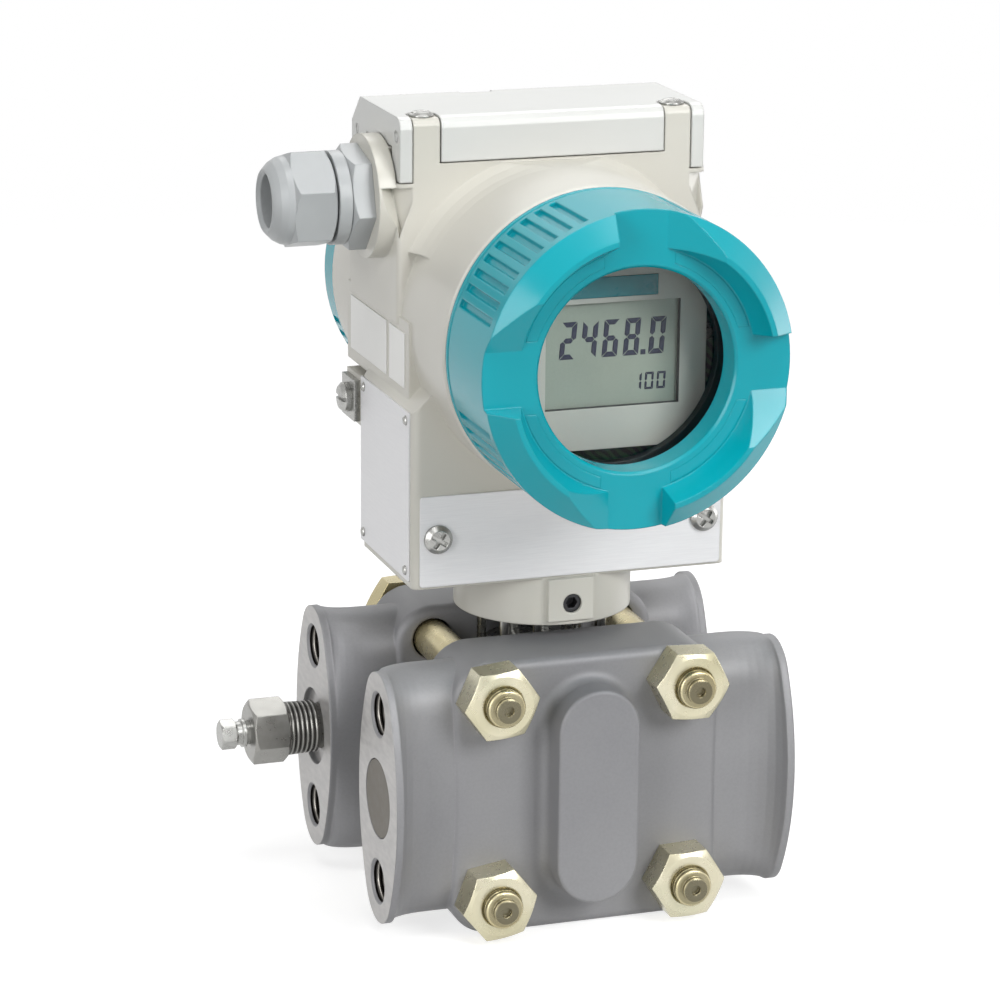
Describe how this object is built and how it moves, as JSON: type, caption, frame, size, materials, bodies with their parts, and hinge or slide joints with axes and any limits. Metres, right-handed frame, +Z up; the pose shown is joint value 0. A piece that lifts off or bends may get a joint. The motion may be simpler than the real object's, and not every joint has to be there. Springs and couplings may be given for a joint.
{
  "type": "differential pressure transmitter",
  "caption": "Field pressure transmitter: bolted process flanges with a clamped cell below, round window housing with display, cable gland and hinged key cover above.",
  "frame": {"origin": "on the resting plane, under the middle of the front flange's block", "axes": "+Z up, -Y is the way the display faces, +X to the right of someone reading the display"},
  "size_m": [0.1228, 0.1306, 0.1911],
  "materials": {
    "cast_grey": "matte",
    "steel": "satin",
    "rubber_black": "matte",
    "zinc_yellow": "satin",
    "plug_grey": "matte",
    "paint_beige": "satin",
    "black_steel": "satin",
    "paint_turquoise": "gloss",
    "window_glass": "gloss",
    "plastic_grey": "matte",
    "plastic_turquoise": "gloss",
    "lcd": "gloss",
    "board_green": "satin",
    "plastic_black": "matte",
    "paint_white": "satin",
    "gland_grey": "satin",
    "plate_silver": "satin",
    "label_white": "matte"
  },
  "bodies": {
    "process_body": {"flange_front": "cast_grey", "flange_rear": "cast_grey", "measuring_cell": "steel", "cell_gasket_front": "rubber_black", "cell_gasket_rear": "rubber_black", "diaphragm_front": "steel", "diaphragm_rear": "steel", "cell_leads": "steel", "cell_spigot": "steel", "flange_bolts": "zinc_yellow", "flange_nuts": "zinc_yellow", "blanking_plug": "plug_grey", "vent_valve_body": "steel"},
    "housing_body": {"housing": "paint_beige", "set_screw": "black_steel", "display_bezel": "plastic_grey", "display_plate": "plastic_turquoise", "lcd_panel": "lcd", "display_board": "board_green", "display_screws": "steel", "electronics_module": "plastic_black", "terminal_block": "plastic_black", "terminal_screws": "steel", "hinge_pins": "steel", "key_cover_screws": "steel", "gland_body": "gland_grey", "gland_seal": "rubber_black", "blind_plug": "steel", "label_plate": "plate_silver", "label_screws": "steel", "name_plate": "plate_silver", "name_plate_rivets": "steel", "side_labels": "label_white", "earth_terminal": "steel", "earth_screw": "steel", "key_boot_1": "rubber_black", "key_boot_2": "rubber_black", "key_boot_3": "rubber_black"},
    "front_cover_body": {"front_cover": "paint_turquoise", "front_cover_o_ring": "rubber_black", "window_glass": "window_glass", "glass_retainer": "black_steel"},
    "rear_cover_body": {"rear_cover": "paint_turquoise", "rear_cover_o_ring": "rubber_black"},
    "key_cover_body": {"key_cover": "paint_white"},
    "key_1_body": {"key_1": "plastic_grey"},
    "key_2_body": {"key_2": "plastic_grey"},
    "key_3_body": {"key_3": "plastic_grey"},
    "vent_screw_body": {"vent_valve_stem": "steel"},
    "gland_nut_body": {"gland_nut": "gland_grey"}
  },
  "joints": [
    {"name": "housing_swivel", "type": "hinge", "parent": "process_body", "child": "housing_body", "pos_m": [0, 0.0228, 0.08], "axis": [0, 0, 1], "range_deg": [-180, 180]},
    {"name": "front_cover_turn", "type": "hinge", "parent": "housing_body", "child": "front_cover_body", "pos_m": [0, -0.0172, 0.1419], "axis": [0, -1, 0], "range_deg": [0, 360]},
    {"name": "rear_cover_turn", "type": "hinge", "parent": "housing_body", "child": "rear_cover_body", "pos_m": [0, 0.0728, 0.1419], "axis": [0, 1, 0], "range_deg": [0, 360]},
    {"name": "key_cover_hinge", "type": "hinge", "parent": "housing_body", "child": "key_cover_body", "pos_m": [0, 0.0524, 0.1822], "axis": [-1, 0, 0], "range_deg": [0, 95]},
    {"name": "vent_screw_turn", "type": "hinge", "parent": "process_body", "child": "vent_screw_body", "pos_m": [-0.06, 0.0498, 0.0346], "axis": [-1, 0, 0], "range_deg": [0, 360]},
    {"name": "gland_nut_turn", "type": "hinge", "parent": "housing_body", "child": "gland_nut_body", "pos_m": [-0.055, 0.0338, 0.1697], "axis": [-1, 0, 0], "range_deg": [0, 360]},
    {"name": "key_1_press", "type": "slide", "parent": "housing_body", "child": "key_1_body", "axis": [0, 0, -1], "range_m": [0, 0.0012], "stiffness_N_per_m": 2500, "springref_m": -0.0002, "deforming": ["key_boot_1"]},
    {"name": "key_2_press", "type": "slide", "parent": "housing_body", "child": "key_2_body", "axis": [0, 0, -1], "range_m": [0, 0.0012], "stiffness_N_per_m": 2500, "springref_m": -0.0002, "deforming": ["key_boot_2"]},
    {"name": "key_3_press", "type": "slide", "parent": "housing_body", "child": "key_3_body", "axis": [0, 0, -1], "range_m": [0, 0.0012], "stiffness_N_per_m": 2500, "springref_m": -0.0002, "deforming": ["key_boot_3"]}
  ]
}
